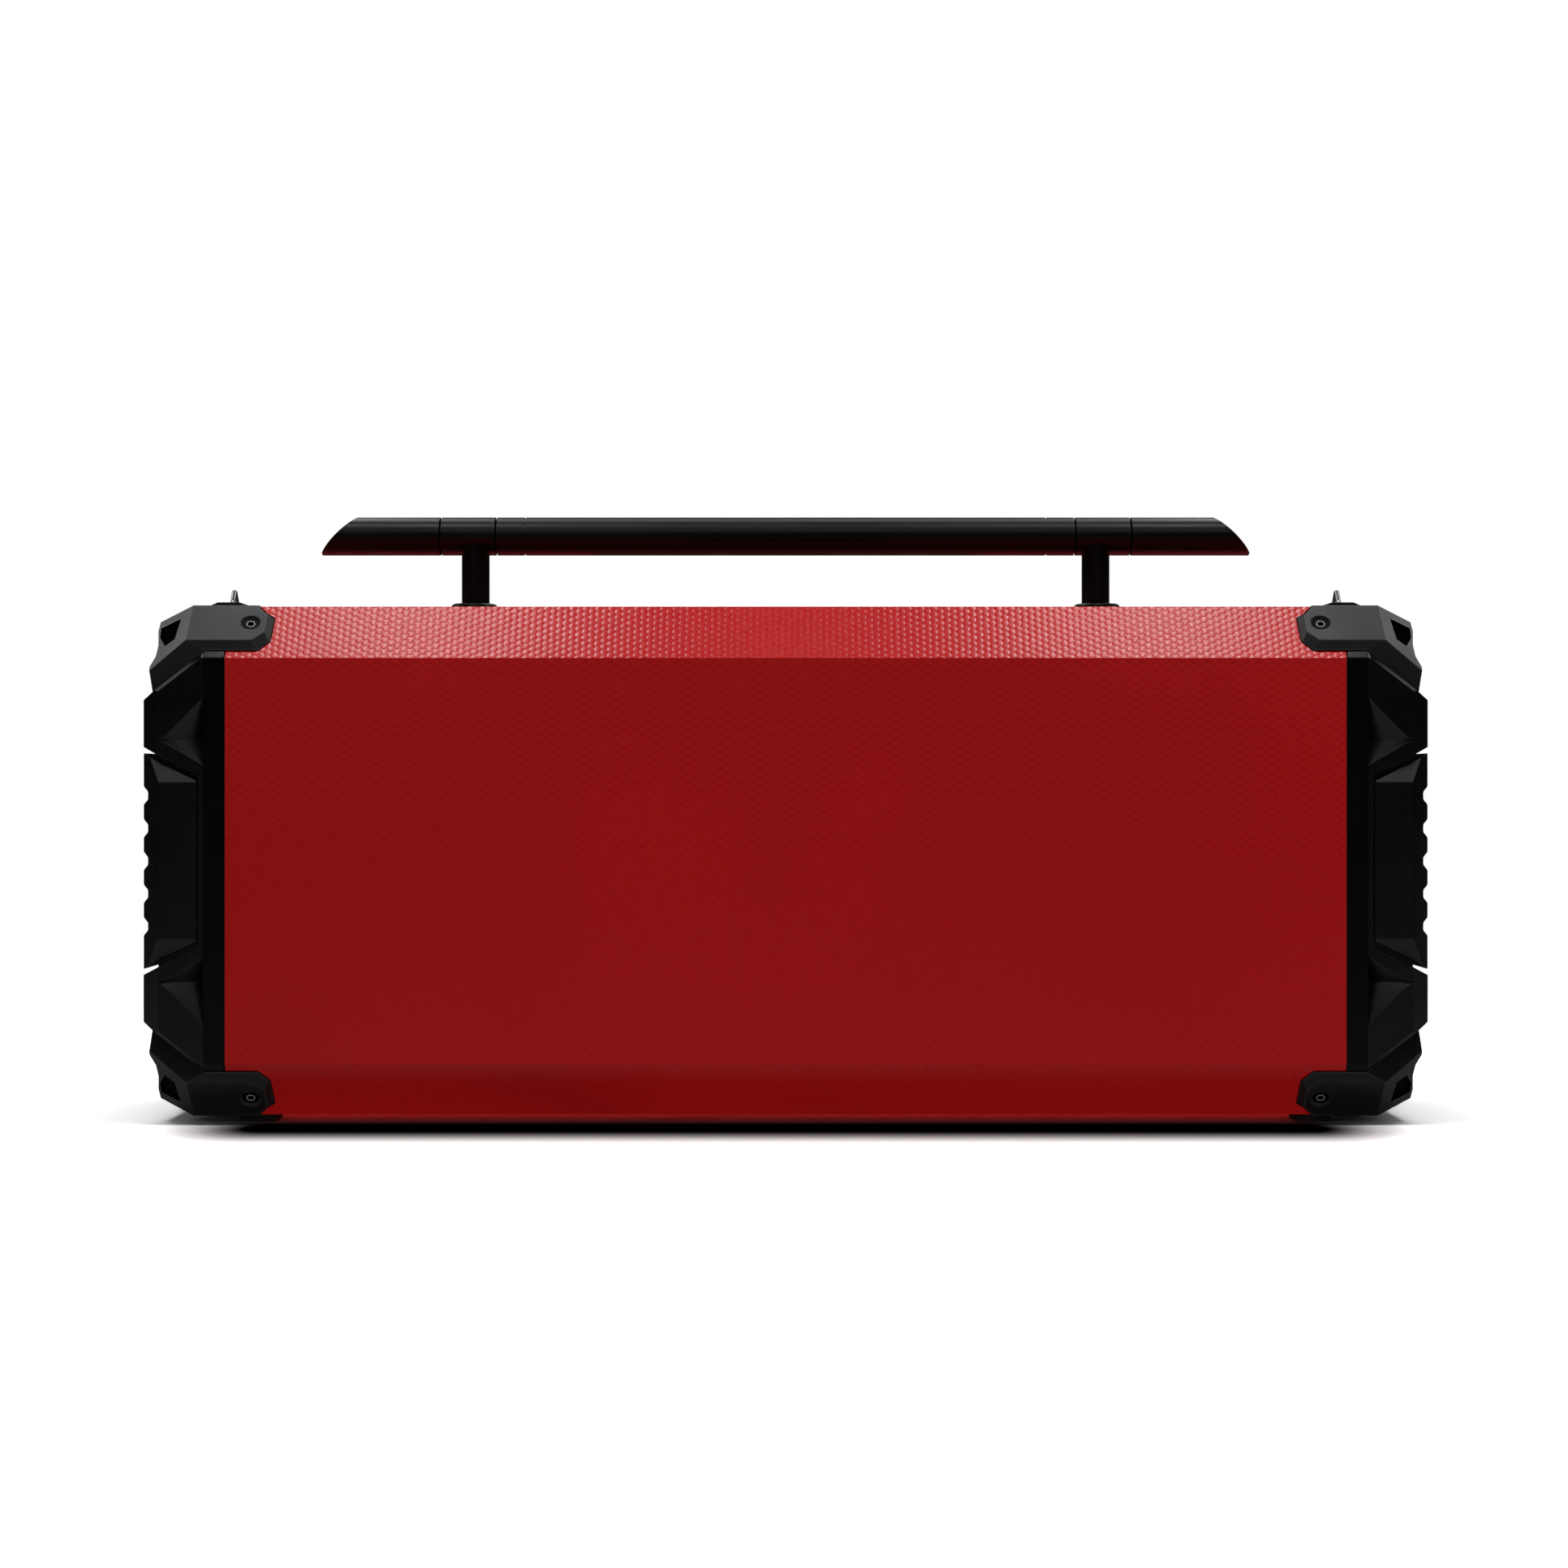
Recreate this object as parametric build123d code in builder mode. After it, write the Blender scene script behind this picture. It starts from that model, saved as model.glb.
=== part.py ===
"""Portable party speaker, in millimetres.

X runs along the cabinet, the grille faces -Y, the plain rear faces +Y and Z is up.
The origin is on the floor under the middle of the cabinet.
"""

import os
from math import sqrt

from build123d import *

os.makedirs("parts", exist_ok=True)

# Driving dimensions
overall_width = 412.0
overall_depth = 144.0
body_height = 164.0
foot_height = 2.7
edge_chamfer = 17.0
wall = 3.0
covering_thickness = 0.8
covering_half_length = 179.3
strip_proud = 0.25
strip_gap = 0.3
shell_half_length = 186.3

# Worked out from them
half_width = overall_width / 2
half_depth = overall_depth / 2
half_height = body_height / 2
middle = foot_height + half_height
top = foot_height + body_height
shell_inset = covering_thickness
cavity_inset = covering_thickness + wall
middle_plane = Plane.XY.offset(middle)
sides = {"left": -1, "right": 1}
levels = {"bottom": -1, "top": 1}


def octagon_bar(inset, x_from, x_to):
    """Bar along X with the cabinet's eight-sided section, drawn in by the inset."""
    corner = edge_chamfer - inset * (2 - sqrt(2))
    with BuildPart() as bar:
        with BuildSketch(Plane.YZ.offset(x_from)) as section:
            with Locations((0, middle)):
                Rectangle(2 * (half_depth - inset), 2 * (half_height - inset))
            chamfer(section.vertices(), length=corner)
        extrude(amount=x_to - x_from)
    return bar.part


def rear_view_prism(points, y_from, y_to):
    """Prism along Y from corners given as (x, height above the cabinet's middle)."""
    corners = [(x, middle + height) for x, height in points]
    with BuildPart() as prism:
        with BuildSketch(Plane.XZ.offset(-y_to)):
            Polygon(*corners, align=None)
        extrude(amount=y_to - y_from)
    return prism.part


def box_between(low, high):
    """Box from its lowest to its highest corner."""
    size = [b - a for a, b in zip(low, high)]
    centre = [(a + b) / 2 for a, b in zip(low, high)]
    with BuildPart() as block:
        with Locations(tuple(centre)):
            Box(*size)
    return block.part


def turned(centre_x, centre_z, profile):
    """Ring or disc turned about an axis along Y, from (radius, y) corners."""
    corners = [(centre_x + radius, y) for radius, y in profile]
    with BuildPart() as ring:
        with BuildSketch(Plane.XY.offset(centre_z)):
            Polygon(*corners, align=None)
        revolve(axis=Axis((centre_x, 0, centre_z), (0, 1, 0)))
    return ring


def facet(corners, inside):
    """Plane through three corners, each (x, y, height above middle), facing away from inside."""
    a, b, c = [Vector(x, y, middle + height) for x, y, height in corners]
    normal = (b - a).cross(c - a)
    if normal.dot(a - Vector(*inside)) < 0:
        normal = -normal
    return Plane(origin=a, z_dir=normal)


def both_faces(corners):
    """The same three corners at the rear and mirrored to the front."""
    return [[(x, sign * y, height) for x, y, height in corners] for sign in (1, -1)]


def placed(part, side, level=1):
    """A right-hand upper piece, mirrored to its own side and level."""
    with BuildPart() as copy:
        add(part)
        if side < 0:
            mirror(about=Plane.YZ, mode=Mode.REPLACE)
        if level < 0:
            mirror(about=middle_plane, mode=Mode.REPLACE)
    return copy


def bore(planes, radius, depth):
    """Round holes in the piece being built, sunk below each plane."""
    with Locations(*planes):
        Cylinder(radius, depth, align=(Align.CENTER, Align.CENTER, Align.MAX), mode=Mode.SUBTRACT)


def screw_group(planes, head_radius, head_height, shank_radius, shank_length, socket_radius):
    """Socket-head screws whose head tops lie on the planes, as separate solids."""
    with BuildPart() as group:
        with Locations(*[plane.offset(-head_height) for plane in planes]):
            Cylinder(head_radius, head_height, align=(Align.CENTER, Align.CENTER, Align.MIN))
            Cylinder(shank_radius, shank_length, align=(Align.CENTER, Align.CENTER, Align.MAX))
        for plane in planes:
            with BuildSketch(plane) as socket:
                RegularPolygon(socket_radius, 6)
            extrude(socket.sketch, amount=-0.7 * head_height, mode=Mode.SUBTRACT)
    return group


def save(piece, name):
    """Label one finished piece and write it to its own file."""
    piece.part.label = name
    export_step(piece.part, f"parts/{name}.step")


# ---------------------------------------------------------------- corner guards
# Corners are (x, y, height above the cabinet's middle) on the right upper rear guard.
guard_top = half_height + 0.3
guard_proud = 2.4
plate_sum = half_depth + half_height - edge_chamfer + guard_proud * sqrt(2)
plate_low = 70.9
guard_low = 67.5
guard_end = 170.0
guard_slope = 0.77
guard_side_low = 203.6
guard_side_high = 204.6
plate_outer_top = (190.9, plate_sum - guard_top, guard_top)
plate_outer_low = (192.1, plate_sum - plate_low, plate_low)
plate_inner_low = (171.0, plate_sum - plate_low, plate_low)
plate_inner_mid = (167.3, plate_sum - 73.5, 73.5)
plate_inner_high = (166.7, plate_sum - 79.2, 79.2)
shoulder = (204.6, 63.5, 61.1)
foot_of_guard = (186.0, 70.2, guard_low)
guard_outline = [
    (guard_end, guard_top),
    (guard_end, 82.0),
    (167.1, 79.3),
    (164.7, 78.0),
    (165.4, 70.6),
    (168.9, guard_low),
    (186.0, guard_low),
    (guard_side_low, guard_low - (guard_side_low - 186.0) * guard_slope),
    (guard_side_high, 61.5),
    (guard_side_high, guard_top),
]
guard_facets = [
    [(guard_end, plate_sum - guard_top, guard_top), plate_outer_top, plate_inner_low],
    [plate_inner_high, plate_inner_mid, (165.4, 66.7, 70.6)],
    [plate_inner_mid, plate_inner_low, (168.9, 69.8, guard_low)],
    [plate_inner_low, plate_outer_low, foot_of_guard],
    [plate_outer_low, shoulder, foot_of_guard],
    [plate_outer_top, plate_outer_low, shoulder],
]
top_bevel = [(190.9, 0, guard_top), (202.8, 0, 77.2), (202.8, 50, 77.2)]
side_step = [
    (202.8, 77.2),
    (203.2, 74.2),
    (202.4, 69.5),
    (202.8, 65.8),
    (204.6, 62.4),
    (208.0, 62.4),
    (208.0, 78.5),
]
guard_hollow = [(186.0, 40.0), (197.5, 40.0), (197.5, 71.0), (190.0, 77.5), (186.0, 77.5)]
window = [(195.0, 78.0), (202.2, 75.1), (202.2, 71.9), (199.9, 69.0), (196.4, 71.2)]
hump = [(187.6, 82.0), (184.0, 83.6), (177.0, 83.6), (173.3, 82.0)]
hump_half_length = 50.0
inside_guard = (180.0, 0.0, middle + 60.0)

# The ring lies in a shallow pocket across the hump
ring_x = 184.0
ring_axis_height = 83.1
pocket_floor = 82.0
pocket_low = (177.8, -12.0, middle + pocket_floor)
pocket_high = (190.6, 12.0, middle + 90.0)

# Guard screws stand square to the chamfer, one at each face
screw_x = 171.9
screw_height = 76.6
guard_counterbore_depth = 1.9
guard_screw_planes = [
    Plane(
        origin=(screw_x, sign * (plate_sum - screw_height), middle + screw_height),
        x_dir=(1, 0, 0),
        z_dir=(0, sign, 1),
    )
    for sign in (1, -1)
]

# Feet stand through the lower guards
foot_size = (11.7, 22.0)
foot_centre = (170.7, 40.0)
foot_places = [(sx * foot_centre[0], sy * foot_centre[1]) for sx in (-1, 1) for sy in (-1, 1)]

guard_block = rear_view_prism(guard_outline, -80, 80)
guard_core = octagon_bar(shell_inset, 150, shell_half_length)
guard_cavity = rear_view_prism(guard_hollow, -54, 54)
guard_step = rear_view_prism(side_step, -80, 80)
guard_hump = rear_view_prism(hump, -hump_half_length, hump_half_length)
guard_windows = [rear_view_prism(window, 40, 80), rear_view_prism(window, -80, -40)]
foot_clearance = [
    box_between(
        (foot_centre[0] - 6.2, sy * foot_centre[1] - 11.3, middle + 81.0),
        (foot_centre[0] + 6.2, sy * foot_centre[1] + 11.3, middle + 90.0),
    )
    for sy in (-1, 1)
]
strap_pocket = box_between(pocket_low, pocket_high)


def corner_guard(with_strap):
    """Right upper guard, or the lower one still lying upside up."""
    with BuildPart() as guard:
        add(guard_block)
        for corners in guard_facets:
            for face_corners in both_faces(corners):
                split(bisect_by=facet(face_corners, inside_guard), keep=Keep.BOTTOM)
        split(bisect_by=facet(top_bevel, inside_guard), keep=Keep.BOTTOM)
        add(guard_step, mode=Mode.SUBTRACT)
        add(guard_hump)
        add(guard_core, mode=Mode.SUBTRACT)
        add(guard_cavity, mode=Mode.SUBTRACT)
        add(guard_windows, mode=Mode.SUBTRACT)
        if with_strap:
            add(strap_pocket, mode=Mode.SUBTRACT)
        else:
            add(foot_clearance, mode=Mode.SUBTRACT)
        bore(guard_screw_planes, 2.65, guard_counterbore_depth)
        bore(guard_screw_planes, 1.5, 8)
        with Locations(*guard_screw_planes):
            Cone(2.65, 3.3, 0.6, align=(Align.CENTER, Align.CENTER, Align.MAX), mode=Mode.SUBTRACT)
    return guard.part


upper_guard = corner_guard(True)
lower_guard = corner_guard(False)
for level_name, level in levels.items():
    for side_name, side in sides.items():
        pattern = upper_guard if level > 0 else lower_guard
        save(placed(pattern, side, level), f"corner_guard_{level_name}_{side_name}")

guard_seats = [plane.offset(-guard_counterbore_depth + 1.2) for plane in guard_screw_planes]
one_guard_screws = screw_group(guard_seats, 2.5, 1.2, 1.5, 5.0, 1.1)
with BuildPart() as guard_screws:
    add(one_guard_screws.part)
    mirror(about=Plane.YZ)
    mirror(about=middle_plane)
save(guard_screws, "guard_screws")

# ---------------------------------------------------------------- cabinet openings
# Space that each guard takes out of the covering and the end strips
guard_zone = rear_view_prism(
    [
        (169.7, 90.0),
        (169.7, 82.1),
        (166.8, 79.5),
        (164.4, 78.2),
        (165.1, 70.4),
        (168.7, 67.2),
        (190.0, 67.2),
        (190.0, 90.0),
    ],
    -80,
    80,
)
guard_zones = [placed(guard_zone, side, level).part for side in (1, -1) for level in (1, -1)]

window_half_length = 176.0
window_half_height = 61.0
panel_length = 130.0
panel_width = 24.0
panel_y = -38.0
port_length = 66.0
port_width = 24.0
port_y = 34.0
post_x = 103.5

front_window = box_between(
    (-window_half_length, -half_depth - 1, middle - window_half_height),
    (window_half_length, -half_depth + 8, middle + window_half_height),
)
panel_cut = box_between(
    (-panel_length / 2, panel_y - panel_width / 2, top - 5),
    (panel_length / 2, panel_y + panel_width / 2, top + 1),
)
port_cut = box_between(
    (-port_length / 2, port_y - port_width / 2, top - 5),
    (port_length / 2, port_y + port_width / 2, top + 1),
)
handle_bolt_planes = [
    Plane(origin=(side * post_x, y, top), z_dir=(0, 0, 1)) for side in (-1, 1) for y in (-5.5, 5.5)
]
baffle_screw_x = 178.6
baffle_screw_spots = [(sx * baffle_screw_x, h) for sx in (-1, 1) for h in (-45, 0, 45)]
baffle_front = -64.0
baffle_thickness = 6.0
baffle_back = baffle_front + baffle_thickness
baffle_screw_planes = [
    Plane(origin=(x, baffle_back + 2.0, middle + h), x_dir=(1, 0, 0), z_dir=(0, 1, 0))
    for x, h in baffle_screw_spots
]
cap_screw_planes = [
    Plane(origin=(shell_half_length - wall - 2.0, y, middle + h), x_dir=(0, 1, 0), z_dir=(-1, 0, 0))
    for y in (-45, 45)
    for h in (-40, 40)
]
all_guard_screw_planes = [
    Plane(
        origin=(sx * screw_x, sy * (plate_sum - screw_height), middle + sz * screw_height),
        x_dir=(1, 0, 0),
        z_dir=(0, sy, sz),
    )
    for sx in (1, -1)
    for sy in (1, -1)
    for sz in (1, -1)
]

# ---------------------------------------------------------------- cabinet
shell_outer = octagon_bar(shell_inset, -shell_half_length, shell_half_length)
shell_inner = octagon_bar(cavity_inset, wall - shell_half_length, shell_half_length - wall)
cap_screw_planes_left = [
    Plane(origin=(-p.origin.X, p.origin.Y, p.origin.Z), x_dir=(0, 1, 0), z_dir=(1, 0, 0))
    for p in cap_screw_planes
]
with BuildPart() as cabinet_shell:
    add(shell_outer)
    add(shell_inner, mode=Mode.SUBTRACT)
    add([front_window, panel_cut, port_cut], mode=Mode.SUBTRACT)
    bore(handle_bolt_planes, 2.1, 8)
    bore(all_guard_screw_planes, 1.5, 8.5)
    bore(baffle_screw_planes, 1.5, 14)
    bore(cap_screw_planes + cap_screw_planes_left, 1.5, 8)
save(cabinet_shell, "cabinet_shell")

skin_outer = octagon_bar(0, -covering_half_length, covering_half_length)
skin_inner = octagon_bar(covering_thickness, -covering_half_length - 1, covering_half_length + 1)
with BuildPart() as cabinet_covering:
    add(skin_outer)
    add(skin_inner, mode=Mode.SUBTRACT)
    add([front_window, panel_cut, port_cut, *guard_zones], mode=Mode.SUBTRACT)
    bore(handle_bolt_planes, 2.1, 8)
save(cabinet_covering, "cabinet_covering")

strip_from = covering_half_length + strip_gap
strip_outer = octagon_bar(-strip_proud, strip_from, shell_half_length)
strip_inner = octagon_bar(covering_thickness, strip_from - 1, shell_half_length + 1)
with BuildPart() as strip:
    add(strip_outer)
    add(strip_inner, mode=Mode.SUBTRACT)
    add(guard_zones, mode=Mode.SUBTRACT)
for side_name, side in sides.items():
    save(placed(strip.part, side), f"end_strip_{side_name}")

# ---------------------------------------------------------------- end caps and side grips
bevel_x = 200.8
bevel_y = 66.0
grip_inner_x = 188.3
grip_core_x = 201.0
grip_core_y = 68.0
grip_height = 25.9
grip_slope = 0.5
grip_slot = 1.8
notch_pitch = 10.5
notch_depth = 1.6
guard_gap = 0.5
cap_slope = guard_slope
cap_edge = guard_low - guard_gap
cap_bevel = 1.3
pocket_depth = 6.0
pocket_root = 38.7
side_bevel = [(bevel_x, half_depth, 0), (bevel_x, half_depth, 10), (half_width, bevel_y, 0)]
inside_cap = (190.0, 0.0, middle)


def grip_prism(inner_x, inner_height, reach):
    """Trapezoid along Y, widening outward from the grip's inner edge."""
    outer_height = inner_height + (reach - inner_x) * grip_slope
    outline = [
        (inner_x, inner_height),
        (reach, outer_height),
        (reach, -outer_height),
        (inner_x, -inner_height),
    ]
    return rear_view_prism(outline, -80, 80)


grip_core = box_between(
    (150, -grip_core_y, middle - 60), (grip_core_x, grip_core_y, middle + 60)
)
grip_trapezoid = grip_prism(grip_inner_x, grip_height, 210)
recess_trapezoid = grip_prism(grip_inner_x - 0.4, grip_height + grip_slot - 0.2, 210)
with BuildPart() as grip_recess:
    add(recess_trapezoid)
    add(grip_core, mode=Mode.SUBTRACT)

end_block = octagon_bar(0, shell_half_length, half_width)
above_cap = rear_view_prism(
    [(180, cap_edge + 6 * cap_slope), (210, cap_edge - 24 * cap_slope), (210, 95), (180, 95)], -80, 80
)
below_cap = mirror(above_cap, about=middle_plane)
cap_edge_bevel = [
    (186.0, half_depth, cap_edge - cap_bevel),
    (200.0, half_depth, cap_edge - cap_bevel - 14 * cap_slope),
    (186.0, half_depth - cap_bevel, cap_edge),
]


def pocket(sign, level):
    """Three-sided pocket beside the strip, fading out toward the cabinet's end."""
    face_y = sign * half_depth
    root = middle + level * pocket_root
    with BuildPart() as wedge:
        with BuildSketch(Plane.YZ.offset(shell_half_length)) as mouth:
            Polygon(
                (face_y + sign, middle + level * 54.8),
                (face_y + sign, middle + level * 29.3),
                (face_y - sign * pocket_depth, root),
                align=None,
            )
        tip = Plane.YZ.offset(bevel_x)
        with BuildSketch(tip) as end:
            Polygon(
                (face_y + sign, root + 0.5),
                (face_y + sign, root - 0.5),
                (face_y - sign * 0.05, root),
                align=None,
            )
        loft(sections=[mouth.sketch, end.sketch])
    return wedge.part


pockets = [pocket(sign, level) for sign in (1, -1) for level in (1, -1)]
cap_hollow = box_between((186.0, -58, middle - 48), (198.0, 58, middle + 48))
cap_bosses = [
    Plane(origin=(shell_half_length, y, middle + h), z_dir=(1, 0, 0))
    for y in (-45, 45)
    for h in (-40, 40)
]
with BuildPart() as cap:
    add(end_block)
    for corners in both_faces(side_bevel):
        split(bisect_by=facet(corners, inside_cap), keep=Keep.BOTTOM)
    add([above_cap, below_cap], mode=Mode.SUBTRACT)
    for level in (1, -1):
        for corners in both_faces(cap_edge_bevel):
            level_corners = [(x, y, level * height) for x, y, height in corners]
            split(bisect_by=facet(level_corners, inside_cap), keep=Keep.BOTTOM)
    add(grip_recess.part, mode=Mode.SUBTRACT)
    add(pockets, mode=Mode.SUBTRACT)
    add(cap_hollow, mode=Mode.SUBTRACT)
    with Locations(*cap_bosses):
        Cylinder(4.5, 12.0, align=(Align.CENTER, Align.CENTER, Align.MIN))
    bore(cap_screw_planes, 1.5, 12)
for side_name, side in sides.items():
    save(placed(cap.part, side), f"end_cap_{side_name}")

grip_facet = [
    (grip_inner_x, half_depth, 25.1),
    (bevel_x, half_depth, 25.1),
    (202.3, 68.5, 32.9),
]
notches = [
    rear_view_prism(
        [
            (half_width + 1, height + 3.9),
            (half_width - notch_depth, height + 1.2),
            (half_width - notch_depth, height - 1.2),
            (half_width + 1, height - 3.9),
        ],
        -80,
        80,
    )
    for height in [step * notch_pitch for step in (-2, -1, 0, 1, 2)]
]
with BuildPart() as grip:
    add(end_block)
    for corners in both_faces(side_bevel):
        split(bisect_by=facet(corners, inside_cap), keep=Keep.BOTTOM)
    add(grip_trapezoid, mode=Mode.INTERSECT)
    add(grip_core, mode=Mode.SUBTRACT)
    for level in (1, -1):
        for corners in both_faces(grip_facet):
            level_corners = [(x, y, level * height) for x, y, height in corners]
            split(bisect_by=facet(level_corners, inside_cap), keep=Keep.BOTTOM)
    add(notches, mode=Mode.SUBTRACT)
for side_name, side in sides.items():
    save(placed(grip.part, side), f"side_grip_{side_name}")

end_cap_screws = screw_group(cap_screw_planes + cap_screw_planes_left, 2.8, 2.0, 1.5, 9.0, 1.2)
save(end_cap_screws, "end_cap_screws")

# ---------------------------------------------------------------- strap lugs and rings
ring_wire = 0.9
ring_half_length = 9.0
ring_rise = 4.8
lug_half_length = 3.0
ring_axis = Plane(origin=(ring_x, 0, middle + ring_axis_height), x_dir=(1, 0, 0), z_dir=(0, -1, 0))
with BuildPart() as lug:
    with Locations((ring_x, 0, middle + pocket_floor)):
        Box(5.4, 2 * lug_half_length, 2.4, align=(Align.CENTER, Align.CENTER, Align.MIN))
    fillet(lug.edges().filter_by(Axis.Y).group_by(Axis.Z)[-1], radius=1.2)
    bore([ring_axis.offset(lug_half_length + 1)], ring_wire + 0.05, 2 * lug_half_length + 2)
with BuildPart() as ring:
    with BuildLine(Plane.YZ.offset(ring_x)) as loop:
        FilletPolyline(
            (ring_half_length, middle + ring_axis_height),
            (0, middle + ring_axis_height + ring_rise + 1.0),
            (-ring_half_length, middle + ring_axis_height),
            radius=1.1,
            close=True,
        )
    with BuildSketch(Plane(origin=loop.line @ 0, z_dir=loop.line % 0)):
        Circle(ring_wire)
    sweep()
for side_name, side in sides.items():
    save(placed(lug.part, side), f"strap_lug_{side_name}")
    save(placed(ring.part, side), f"strap_ring_{side_name}")

# ---------------------------------------------------------------- handle
bar_low = 185.7
bar_high = 198.4
bar_depth = 22.0
bar_middle = (bar_low + bar_high) / 2
handle_half_length = 154.5
tip_shoulder = 142.6
tip_blunt = 0.7
grip_half_length = 96.1
post_width = 9.2
post_depth = 20.0
seam_gap = 0.6
ring_groove_x = 86.9
ring_groove = 0.3
base_length = 15.5
base_depth = 30.0
base_thickness = 2.7
rod_radius = 3.5
rod_half_length = 138.0


def bar_piece(x_from, x_to):
    """Length of the handle's oval tube."""
    with BuildPart() as piece:
        with BuildSketch(Plane.YZ.offset(x_from)):
            with Locations((0, bar_middle)):
                Ellipse(bar_depth / 2, (bar_high - bar_low) / 2)
        extrude(amount=x_to - x_from)
    return piece.part


rod_bore = Plane(origin=(-rod_half_length, 0, bar_middle), z_dir=(-1, 0, 0))
centre_bar = bar_piece(-grip_half_length, grip_half_length)
with BuildPart() as handle_grip:
    add(centre_bar)
    for groove_x in (-ring_groove_x, ring_groove_x):
        with BuildSketch(Plane.YZ.offset(groove_x - ring_groove)) as groove:
            with Locations((0, bar_middle)):
                Rectangle(2 * bar_depth, 2 * bar_depth)
                Ellipse(
                    bar_depth / 2 - ring_groove,
                    (bar_high - bar_low) / 2 - ring_groove,
                    mode=Mode.SUBTRACT,
                )
        extrude(groove.sketch, amount=2 * ring_groove, mode=Mode.SUBTRACT)
    bore([rod_bore], rod_radius, 2 * rod_half_length)
save(handle_grip, "handle_grip")

with BuildPart() as handle_core:
    with BuildSketch(Plane.YZ.offset(-rod_half_length)):
        with Locations((0, bar_middle)):
            Circle(rod_radius)
    extrude(amount=2 * rod_half_length)
save(handle_core, "handle_core")

tip_start = 115.2
collar_from = grip_half_length + seam_gap
collar_to = tip_start - seam_gap
base_top = top + base_thickness
collar = bar_piece(collar_from, collar_to)
post_bolt_planes = [plane.offset(base_thickness) for plane in handle_bolt_planes[2:]]
with BuildPart() as bracket:
    with BuildSketch(Plane.XY.offset(base_top)):
        with Locations((post_x, 0)):
            Ellipse(post_width / 2, post_depth / 2)
    extrude(amount=bar_middle - base_top)
    add(collar)
    bore([rod_bore], rod_radius, 2 * rod_half_length)
    bore([plane.offset(9) for plane in post_bolt_planes], 2.0, 9)

tip_bar = bar_piece(tip_start, handle_half_length)
with BuildPart() as tip:
    add(tip_bar)
    with BuildSketch(Plane.XZ.offset(-bar_depth)):
        with BuildLine():
            ThreePointArc(
                (tip_shoulder, bar_high),
                (tip_shoulder + 7.2, bar_high - 6.4),
                (handle_half_length, bar_low + tip_blunt),
            )
            Polyline(
                (handle_half_length, bar_low + tip_blunt),
                (handle_half_length + 5, bar_high + 5),
                (tip_shoulder, bar_high),
            )
        make_face()
    extrude(amount=2 * bar_depth, mode=Mode.SUBTRACT)
    bore([rod_bore], rod_radius, 2 * rod_half_length)

with BuildPart() as base:
    with BuildSketch(Plane.XY.offset(top)):
        with Locations((post_x + 0.4, 0)):
            Ellipse(base_length / 2, base_depth / 2)
    extrude(amount=base_thickness)
    chamfer(base.faces().sort_by(Axis.Z)[-1].edges(), length=0.8)
    bore(post_bolt_planes, 2.1, 5)
for side_name, side in sides.items():
    save(placed(bracket.part, side), f"handle_bracket_{side_name}")
    save(placed(tip.part, side), f"handle_tip_{side_name}")
    save(placed(base.part, side), f"handle_base_{side_name}")

bolt_seats = [
    Plane(origin=(side * post_x, y, top - cavity_inset - 3.0), x_dir=(1, 0, 0), z_dir=(0, 0, -1))
    for side in (-1, 1)
    for y in (-5.5, 5.5)
]
handle_bolts = screw_group(bolt_seats, 3.5, 3.0, 2.0, cavity_inset + base_thickness + 8.0, 1.5)
save(handle_bolts, "handle_bolts")

# ---------------------------------------------------------------- feet
with BuildPart() as feet:
    with BuildSketch(Plane.XY) as pads:
        with Locations(*foot_places):
            RectangleRounded(*foot_size, 2.5)
    extrude(pads.sketch, amount=foot_height)
    chamfer(feet.faces().group_by(Axis.Z)[0].edges(), length=0.5)
save(feet, "feet")

# ---------------------------------------------------------------- front
with BuildPart() as baffle_gasket:
    with BuildSketch(Plane.XZ.offset(-baffle_front)):
        with Locations((0, middle)):
            Rectangle(362, 126.4)
            Rectangle(352.4, 122.4, mode=Mode.SUBTRACT)
    extrude(amount=half_depth - cavity_inset + baffle_front)
    bore(baffle_screw_planes, 1.6, 14)
save(baffle_gasket, "baffle_gasket")

woofer_x = 105.0
tweeter_height = 27.0
tweeter_spots = [(0.0, middle + tweeter_height), (0.0, middle - tweeter_height)]
woofer_hole = 51.5
screw_ring_radius = 54.5
tweeter_hole = 20.3
woofer_planes = [
    Plane(origin=(side * woofer_x, baffle_front, middle), x_dir=(1, 0, 0), z_dir=(0, -1, 0))
    for side in (-1, 1)
]
tweeter_planes = [
    Plane(origin=(x, baffle_front, z), x_dir=(1, 0, 0), z_dir=(0, -1, 0)) for x, z in tweeter_spots
]
with BuildPart() as woofer_screw_ring:
    with Locations(*woofer_planes):
        with PolarLocations(screw_ring_radius, 4, start_angle=45):
            Cylinder(1.25, 8.0, align=(Align.CENTER, Align.CENTER, Align.MAX))
baffle_driver_holes = woofer_screw_ring.part
with BuildPart() as woofer_clear_ring:
    with Locations(*[plane.offset(4) for plane in woofer_planes]):
        with PolarLocations(screw_ring_radius, 4, start_angle=45):
            Cylinder(1.25, 8.0, align=(Align.CENTER, Align.CENTER, Align.MAX))
flange_screw_holes = woofer_clear_ring.part
with BuildPart() as front_baffle:
    with Locations((0, (baffle_front + baffle_back) / 2, middle)):
        Box(364, baffle_thickness, 132)
    bore(woofer_planes, woofer_hole, 10)
    bore(tweeter_planes, tweeter_hole, 10)
    bore(baffle_screw_planes, 1.6, 14)
    add(baffle_driver_holes, mode=Mode.SUBTRACT)
save(front_baffle, "front_baffle")

baffle_screws = screw_group(baffle_screw_planes, 2.8, 2.0, 1.5, 12.0, 1.2)
save(baffle_screws, "baffle_screws")

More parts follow.
